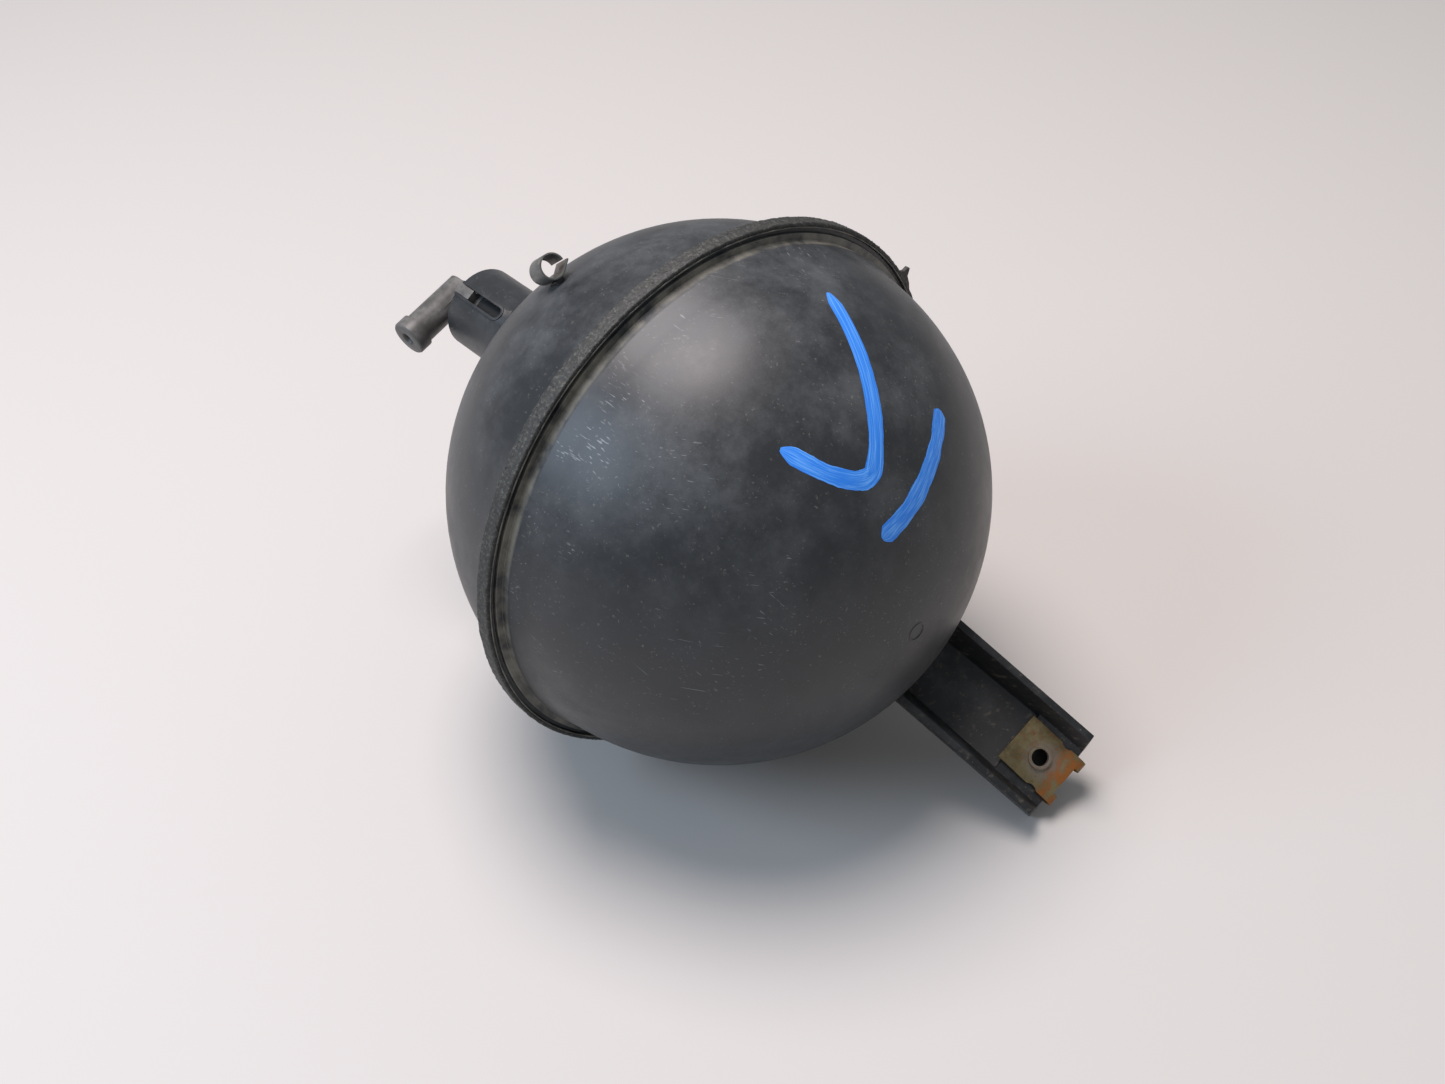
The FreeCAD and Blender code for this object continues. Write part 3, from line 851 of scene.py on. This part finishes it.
# ---------------------------------------------------------------- the ball
@dataclass
class BracketHalf:
    """Front half of the ball: smooth dome, short skirt, flange with its flash groove."""

    material: bpy.types.Material
    centre: Vector
    radius: float = 75.0
    wall: float = 2.8
    weld_x: float = -0.5
    flange_r: float = 79.3
    flange_x: float = 1.8
    skirt_r: float = 75.6
    skirt_x: float = 4.6
    foot_x: float = 9.0
    groove: tuple[float, float, float] = (77.6, 78.9, 1.2)
    gate_r: float = 2.8
    corner_round: float = 0.28
    dome_steps: int = 70
    inner_steps: int = 40
    segments: int = 320

    def outline(self) -> list[tuple[float, float]]:
        """Outer and inner outline from the outer pole round to the inner pole, in millimetres."""
        gate = [(self.radius - 0.1, 0.0), (self.radius - 0.1, self.gate_r - 0.6)]
        gate += [(self.radius + 0.12, self.gate_r - 0.45), (self.radius + 0.12, self.gate_r - 0.1)]
        gate += [(math.sqrt(self.radius**2 - self.gate_r**2), self.gate_r + 0.05)]
        dome = []
        start = math.asin((self.gate_r + 0.4) / self.radius)
        end = math.acos(self.foot_x / self.radius)
        for k in range(self.dome_steps + 1):
            a = start + (end - start) * k / self.dome_steps
            dome.append((self.radius * math.cos(a), self.radius * math.sin(a)))
        inner, outer, depth = self.groove
        corners = [
            dome[-1],
            (self.skirt_x, self.skirt_r),
            (self.flange_x, self.skirt_r),
            (self.flange_x, inner),
            (self.flange_x - depth, inner),
            (self.flange_x - depth, outer),
            (self.flange_x, outer),
            (self.flange_x, self.flange_r),
            (self.weld_x, self.flange_r),
            (self.weld_x, math.sqrt((self.radius - self.wall) ** 2 - self.weld_x**2)),
        ]
        inside = []
        inner_r = self.radius - self.wall
        for k in range(1, self.inner_steps):
            a = math.pi / 2 * (1 - k / self.inner_steps)
            inside.append((inner_r * math.cos(a), inner_r * math.sin(a)))
        inside.append((inner_r, 0.0))
        return gate + dome[:-1] + filleted(corners, self.corner_round) + inside

    def build(self) -> None:
        """Makes the half and puts it on the reservoir."""
        outline = [(x * MM, r * MM) for x, r in self.outline()]
        mesh = lathe("ball_half_bracket_side", outline, self.centre, self.segments)
        obj = new_piece("ball_half_bracket_side", mesh, self.material)
        settle(obj, Body.RESERVOIR, "moulded_nylon", "shell_bracket_side")


@dataclass
class WeldRim:
    """Weld bead round the ball with its torn crest, crumbs and inner bead."""

    flash: bpy.types.Material
    centre: Vector
    crest_r: float = 80.6
    middle_x: float = -0.55
    width: float = 4.6
    depth: float = 1.5
    relief: float = 0.8
    crumb_r: float = 0.34
    crumbs_per_m2: float = 3.2e5

    def bead_tree(self) -> Any:
        """Tree that sweeps the bead's outline round the rim and roughens it."""
        inputs = {"Rim Radius": 0.08, "Width": 0.0046, "Depth": 0.0015, "Relief": 0.0004}
        tree, given = group_tree("weld_bead_sweep", inputs, False)
        rim = add_node(
            tree,
            "GeometryNodeCurvePrimitiveCircle",
            {"Resolution": 1500, "Radius": given["Rim Radius"]},
            mode="RADIUS",
        )
        section = add_node(
            tree,
            "GeometryNodeCurvePrimitiveQuadrilateral",
            {"Width": given["Depth"], "Height": given["Width"]},
        )
        rounded = add_node(
            tree,
            "GeometryNodeFilletCurve",
            {"Curve": section.outputs[0], "Radius": 0.00045, "Count": 2},
            mode="POLY",
        )
        even = add_node(
            tree, "GeometryNodeResampleCurve", {"Curve": rounded.outputs[0], "Count": 30}
        )
        swept = add_node(
            tree,
            "GeometryNodeCurveToMesh",
            {"Curve": rim.outputs[0], "Profile Curve": even.outputs[0]},
        )
        normal = add_node(tree, "GeometryNodeInputNormal")
        coarse = add_node(
            tree, "ShaderNodeTexNoise", {"Scale": 520.0, "Detail": 4.0, "Roughness": 0.62}
        )
        centred = add_node(
            tree, "ShaderNodeMath", {0: coarse.outputs["Fac"], 1: 0.62}, operation="SUBTRACT"
        )
        lift = add_node(
            tree,
            "ShaderNodeMath",
            {0: centred.outputs[0], 1: given["Relief"]},
            operation="MULTIPLY",
        )
        offset = add_node(
            tree,
            "ShaderNodeVectorMath",
            {0: normal.outputs[0], "Scale": lift.outputs[0]},
            operation="SCALE",
        )
        rough = add_node(
            tree,
            "GeometryNodeSetPosition",
            {"Geometry": swept.outputs[0], "Offset": offset.outputs[0]},
        )
        soft = add_node(tree, "GeometryNodeSetShadeSmooth", {"Geometry": rough.outputs[0]})
        close_tree(tree, soft.outputs[0], self.flash)
        return tree

    def upright(self) -> Matrix:
        """Turns a ring from the XY plane to stand square to the polar axis, at the weld."""
        spot = self.centre + Vector((self.middle_x * MM, 0, 0))
        return Matrix.Translation(spot) @ Matrix.Rotation(math.radians(90), 4, "Y")

    def build(self) -> None:
        """Makes the bead and its crumbs and dresses the inner bead and the torn tag."""
        base = bpy.data.meshes.new("weld_bead")
        values = {
            "Rim Radius": (self.crest_r - 0.1 - self.depth / 2) * MM,
            "Width": self.width * MM,
            "Depth": self.depth * MM,
            "Relief": self.relief * MM,
        }
        bead = grown("weld_bead", base, self.bead_tree(), values, self.upright())
        self.hold_inside(bead.data)
        settle(bead, Body.RESERVOIR, "weld_flash", "weld_bead_outer")
        crumbs = grown(
            "weld_crumbs",
            self.crest_band(),
            crumb_tree("weld_crumb_scatter", self.flash),
            {
                "Density": self.crumbs_per_m2,
                "Size": self.crumb_r * MM,
                "Spread": 0.75,
                "Seed": 7,
            },
            Matrix.Identity(4),
        )
        self.hold_inside(crumbs.data)
        settle(crumbs, Body.RESERVOIR, "weld_flash")
        dress("weld_flash_tag", self.flash)
        dress("weld_bead_inner", self.flash)

    def hold_inside(self, mesh: bpy.types.Mesh) -> None:
        """Keeps every point within the crest radius of the CAD rim."""
        limit = self.crest_r * MM - 1e-5
        for vert in mesh.vertices:
            arm = Vector((0, vert.co.y - self.centre.y, vert.co.z - self.centre.z))
            if arm.length > limit:
                held = arm.normalized() * limit
                vert.co = Vector((vert.co.x, self.centre.y + held.y, self.centre.z + held.z))

    def crest_band(self) -> bpy.types.Mesh:
        """Open strip over the crest that the crumbs sit on, widest on the upper far side."""
        bm = bmesh.new()
        r = (self.crest_r - 0.28) * MM
        rows = []
        for k in range(181):
            a = math.radians(15 + 150 * k / 180)
            reach = 1.9 + 0.4 * noise.noise(Vector((k * 0.15, 3.1, 0.7)))
            row = []
            for x in (-reach, reach):
                spot = Vector(((self.middle_x + x) * MM, -r * math.cos(a), r * math.sin(a)))
                row.append(bm.verts.new(self.centre + spot))
            rows.append(row)
        for a, b in zip(rows, rows[1:]):
            bm.faces.new((a[0], a[1], b[1], b[0]))
        return mesh_from(bm, "crest_band")


@dataclass
class PortHalf:
    """Rear half of the ball with its slotted collar."""

    material: bpy.types.Material

    def build(self) -> None:
        """Eases the edges of the collar and its slots."""
        obj = eased_copy("shell_port_side", "ball_half_port_side", 0.3, self.material)
        settle(obj, Body.RESERVOIR, "moulded_nylon", "shell_port_side")


@dataclass
class PaintMarks:
    """Yard marks from a paint pen: a plain tick and an underline, with no meaning in words."""

    material: bpy.types.Material
    centre: Vector
    radius: float = 75.0
    film: float = 0.07
    across: int = 10
    steps: int = 96

    def on_ball(self, u: float, v: float, lift: float) -> Vector:
        """Point over the dome from distances across and up its front, in millimetres.

        Args:
            u: distance to the side, towards +Y.
            v: distance up from the pole over the top.
            lift: height over the surface.

        Returns:
            The point in metres.
        """
        reach = math.hypot(u, v)
        angle = reach / self.radius
        side = Vector((0.0, u, v)) / max(reach, 1e-6)
        out = Vector((math.cos(angle), 0.0, 0.0)) + side * math.sin(angle)
        return self.centre + out * (self.radius + lift) * MM

    def stroke(
        self, name: str, path: Sequence[tuple[float, float]], width: float, seed: int
    ) -> None:
        """One pen stroke as a thin closed film that follows the ball.

        Args:
            name: name of the piece.
            path: (u, v) points of the stroke's middle.
            width: full width in millimetres.
            seed: start of the edge's unevenness.
        """
        line = self.eased(path, self.steps)
        bm = bmesh.new()
        lay = bm.loops.layers.uv.new("stroke")
        rows = []
        total = len(line) - 1
        across = self.across
        for i, (u, v) in enumerate(line):
            ahead = Vector(line[min(i + 1, total)]) - Vector(line[max(i - 1, 0)])
            side = Vector((-ahead.y, ahead.x)).normalized()
            ends = min(1.0, (i + 0.4) / 5.0, (total - i + 0.4) / 3.5) ** 0.6
            press = 0.88 + 0.16 * noise.noise(Vector((i * 0.09, seed, 0)))
            top, bottom = [], []
            for k in range(across + 1):
                t = k / across * 2 - 1
                ragged = 1 + 0.05 * noise.noise(Vector((i * 0.5, seed + 5, math.copysign(2, t))))
                step = side * (t * width / 2 * ends * press * ragged)
                ridge = 0.015 * noise.noise(Vector((k * 1.7, i * 0.06, seed)))
                thick = self.film * (1 - 0.55 * t * t) + ridge
                top.append(bm.verts.new(self.on_ball(u + step.x, v + step.y, thick)))
                bottom.append(bm.verts.new(self.on_ball(u + step.x, v + step.y, 0.005)))
            rows.append((top, bottom, i))
        for (t0, b0, i0), (t1, b1, i1) in zip(rows, rows[1:]):
            for k in range(across):
                face = bm.faces.new((t0[k], t0[k + 1], t1[k + 1], t1[k]))
                corners = ((i0, k), (i0, k + 1), (i1, k + 1), (i1, k))
                for loop, (along, over) in zip(face.loops, corners):
                    loop[lay].uv = (along, over + seed * 3.3)
                bm.faces.new((b0[k], b1[k], b1[k + 1], b0[k + 1]))
            bm.faces.new((t0[0], t1[0], b1[0], b0[0]))
            bm.faces.new((t0[-1], b0[-1], b1[-1], t1[-1]))
        for top, bottom, _ in (rows[0], rows[-1]):
            for k in range(across):
                bm.faces.new((top[k], bottom[k], bottom[k + 1], top[k + 1]))
        bmesh.ops.recalc_face_normals(bm, faces=bm.faces)
        mesh = mesh_from(bm, name)
        smooth(mesh, 50.0)
        settle(new_piece(name, mesh, self.material), Body.RESERVOIR, "moulded_nylon")

    def eased(self, path: Sequence[tuple[float, float]], count: int) -> list[tuple[float, float]]:
        """Smooth line through the points of a stroke."""
        points = [Vector(p) for p in path]
        points = [points[0] * 2 - points[1]] + points + [points[-1] * 2 - points[-2]]
        line = []
        spans = len(points) - 3
        for i in range(count + 1):
            s = min(i / count * spans, spans - 1e-6)
            k, t = int(s), s - int(s)
            a, b, c, d = points[k : k + 4]
            square, cube = 2 * a - 5 * b + 4 * c - d, 3 * b - a - 3 * c + d
            p = 0.5 * (2 * b + (c - a) * t + square * t * t + cube * t**3)
            line.append((p.x, p.y))
        return line

    def build(self) -> None:
        """Draws the tick and the underline."""
        hook = [(-26.0, 62.0), (-16.0, 52.0), (-7.0, 47.5), (-1.0, 52.0)]
        self.stroke("paint_tick", hook + [(10.0, 70.0), (21.0, 92.0)], 5.6, 3)
        underline = [(-8.0, 32.0), (4.0, 36.0), (18.0, 43.0), (29.0, 50.0)]
        self.stroke("paint_underline", underline, 6.0, 11)


# ---------------------------------------------------------------- bracket arm and clip nut
@dataclass
class BracketArm:
    """Channel arm moulded on the ball."""

    material: bpy.types.Material

    def build(self) -> None:
        """Eases the arm's edges."""
        obj = eased_copy("bracket_arm", "bracket_arm_channel", 0.35, self.material)
        settle(obj, Body.RESERVOIR, "moulded_nylon", "bracket_arm")


@dataclass
class ClipNut:
    """Folded spring-steel clip with its threaded collar."""

    material: bpy.types.Material

    def build(self) -> None:
        """Eases the sheared edges of the clip."""
        obj = eased_copy("clip_nut", "spring_clip_nut", 0.14, self.material)
        settle(obj, Body.NUT, "zinc_spring_steel", "clip_nut")


# ---------------------------------------------------------------- elbow valve and hose clip
@dataclass
class ElbowValve:
    """Push-in check valve: elbow, cup, guide plate, spring and disc."""

    shell: bpy.types.Material
    # the darker arm nylon: painted shade for the cup seen in shadow through the collar's slots
    cup: bpy.types.Material
    wire: bpy.types.Material
    disc: bpy.types.Material
    grommet: bpy.types.Material
    coil_r: float = 2.9
    wire_r: float = 0.2
    turns: float = 3.5
    disc_travel: float = 1.2

    def spring_tree(self) -> Any:
        """Tree that winds the valve spring."""
        inputs = {"Coil Radius": 0.0029, "Wire Radius": 0.0002, "Turns": 3.5, "Length": 0.004}
        tree, given = group_tree("valve_spring_winding", inputs, False)
        spiral = add_node(
            tree,
            "GeometryNodeCurveSpiral",
            {
                "Resolution": 40,
                "Rotations": given["Turns"],
                "Start Radius": given["Coil Radius"],
                "End Radius": given["Coil Radius"],
                "Height": given["Length"],
            },
        )
        section = add_node(
            tree,
            "GeometryNodeCurvePrimitiveCircle",
            {"Resolution": 10, "Radius": given["Wire Radius"]},
            mode="RADIUS",
        )
        wire = add_node(
            tree,
            "GeometryNodeCurveToMesh",
            {"Curve": spiral.outputs[0], "Profile Curve": section.outputs[0], "Fill Caps": True},
        )
        soft = add_node(tree, "GeometryNodeSetShadeSmooth", {"Geometry": wire.outputs[0]})
        close_tree(tree, soft.outputs[0], self.wire)
        return tree

    def build(self) -> None:
        """Dresses the valve and winds its spring."""
        elbow = eased_copy("elbow", "elbow_and_nipple", 0.28, self.shell)
        settle(elbow, Body.ELBOW, "valve_nylon", "elbow")
        # the cup is dressed dark as painted shade for its shadowed place inside the collar
        dress("valve_body", self.cup)
        dress("guide_plate", self.shell)
        dress("valve_disc", self.disc)
        dress("port_grommet", self.grommet)
        low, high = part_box("valve_spring")
        middle = (low + high) / 2
        length = high.x - low.x - 2 * self.wire_r * MM
        start = Vector((low.x + self.wire_r * MM, middle.y, middle.z))
        place = Matrix.Translation(start) @ Matrix.Rotation(math.radians(90), 4, "Y")
        values = {
            "Coil Radius": self.coil_r * MM,
            "Wire Radius": self.wire_r * MM,
            "Turns": self.turns,
            "Length": length,
        }
        base = bpy.data.meshes.new("coil")
        spring = grown("valve_spring_coil", base, self.spring_tree(), values, place)
        settle(spring, Body.ELBOW, "spring_wire", "valve_spring")
        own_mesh(spring)


@dataclass
class HoseClip:
    """Open ring clip on its small pad."""

    strip: bpy.types.Material
    pad: bpy.types.Material

    def build(self) -> None:
        """Smooths the strip and dresses its pad."""
        obj = eased_copy("hose_clip", "hose_clip_ring", 0.08, self.strip)
        settle(obj, Body.RESERVOIR, "clip_strip", "hose_clip")
        # the pad takes the darker arm nylon, whose dark resin is painted shade
        dress("hose_clip_base", self.pad)


# ---------------------------------------------------------------- studio
@dataclass
class Softbox:
    """Round soft light aimed at the ball."""

    name: str
    azimuth: float
    elevation: float
    distance: float
    size: float
    power: float
    tint: str

    def build(self, target: Vector) -> None:
        """Places the light.

        Args:
            target: point it is aimed at.
        """
        a, e = math.radians(self.azimuth), math.radians(self.elevation)
        direction = Vector((math.cos(a) * math.cos(e), math.sin(a) * math.cos(e), math.sin(e)))
        data = bpy.data.lights.new(self.name, "AREA")
        data.shape = "DISK"
        data.size = self.size
        data.energy = self.power
        data.color = linear(self.tint)[:3]
        obj = linked(self.name, data)
        obj.location = target + direction * self.distance
        obj.rotation_euler = direction.to_track_quat("Z", "Y").to_euler()


@dataclass
class Studio:
    """Pale floor, soft lights and the camera."""

    centre: Vector
    floor_tint: str = "#c9c6c3"
    world_tint: str = "#dfe3e8"
    world_strength: float = 0.38
    eye: tuple[float, float, float] = (280.29, -251.51, 307.23)
    heading: tuple[float, float, float] = (-0.5620, 0.5069, -0.6536)
    lens: float = 43.6
    lights: list[Softbox] = field(
        default_factory=lambda: [
            Softbox("overhead_softbox", -165.0, 78.0, 1.2, 0.75, 17.0, "#fff4f2"),
            Softbox("side_softbox", -107.0, 36.0, 1.1, 0.6, 5.5, "#d4e8ff"),
        ]
    )

    def build(self) -> None:
        """Builds the whole studio."""
        self.floor()
        self.world()
        for light in self.lights:
            light.build(self.centre)
        self.camera()
        bpy.context.scene.view_settings.view_transform = "Standard"

    def floor(self) -> None:
        """Plain pale floor under the part."""
        bm = bmesh.new()
        bmesh.ops.create_grid(bm, x_segments=8, y_segments=8, size=4.0)
        mesh = mesh_from(bm, "floor")
        s = Shader("pale_floor", Vector((0, 0, 0)))
        material = s.finish(linear(self.floor_tint), 0.9)
        new_piece("floor", mesh, material)

    def world(self) -> None:
        """Even pale light all round, seen as a pale background."""
        world = bpy.data.worlds.new("studio")
        world.use_nodes = True
        bpy.context.scene.world = world
        tree = world.node_tree
        tree.nodes.clear()
        path = add_node(tree, "ShaderNodeLightPath")
        seen = add_node(
            tree,
            "ShaderNodeMath",
            {0: path.outputs["Is Camera Ray"], 1: path.outputs["Is Transmission Ray"]},
            operation="MAXIMUM",
        )
        lit = add_node(
            tree,
            "ShaderNodeBackground",
            {"Color": linear(self.world_tint), "Strength": self.world_strength},
        )
        shown = add_node(
            tree, "ShaderNodeBackground", {"Color": linear("#d6d4d2"), "Strength": 1.0}
        )
        both = add_node(
            tree,
            "ShaderNodeMixShader",
            {0: seen.outputs[0], 1: lit.outputs[0], 2: shown.outputs[0]},
        )
        add_node(tree, "ShaderNodeOutputWorld", {"Surface": both.outputs[0]})

    def camera(self) -> None:
        """Camera above the front, at the part's three-quarter view."""
        data = bpy.data.cameras.new("camera")
        data.sensor_width = 36.0
        data.lens = self.lens
        data.clip_start = 0.01
        obj = linked("camera", data)
        obj.location = self.centre + Vector(self.eye) * MM
        obj.rotation_euler = Vector(self.heading).to_track_quat("-Z", "Y").to_euler()
        bpy.context.scene.camera = obj


def middle_of(node: str) -> Vector:
    """Middle of a CAD node's box."""
    low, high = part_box(node)
    return (low + high) / 2


def ball_centre() -> Vector:
    """Centre of the ball: the outer weld bead gives height and side, the front half its pole."""
    rim = middle_of("weld_bead_outer")
    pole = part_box("shell_bracket_side")[1].x
    return Vector((pole - POLE_REACH, rim.y, rim.z))


def main() -> None:
    """Builds every sub-assembly in order."""
    centre = ball_centre()
    nut = middle_of("clip_nut")
    ball = BallNylon().build(centre)
    flash = FlashNylon().build(centre)
    # darker nylon whose dark resin is painted shade; it also dresses the valve cup and the hose
    # clip's pad
    arm = ShadedArmNylon().build(nut)
    valve = ValveNylon().build(middle_of("elbow"))
    BracketHalf(ball, centre).build()
    PortHalf(ball).build()
    WeldRim(flash, centre).build()
    PaintMarks(PaintPen().build(centre), centre).build()
    BracketArm(arm).build()
    ClipNut(PassivatedSpringSteel().build(nut, Vector(ARM_DIRECTION))).build()
    ElbowValve(
        valve,
        arm,
        DrawnWire().build(middle_of("valve_spring")),
        MattRubber("disc_rubber", "#1b1817", "#4a4541").build(middle_of("valve_disc")),
        MattRubber("grommet_rubber", "#141414", "#3b3b3b").build(middle_of("port_grommet")),
    ).build()
    HoseClip(StripNylon().build(middle_of("hose_clip")), arm).build()
    Studio(centre).build()


if __name__ == "__main__":
    main()
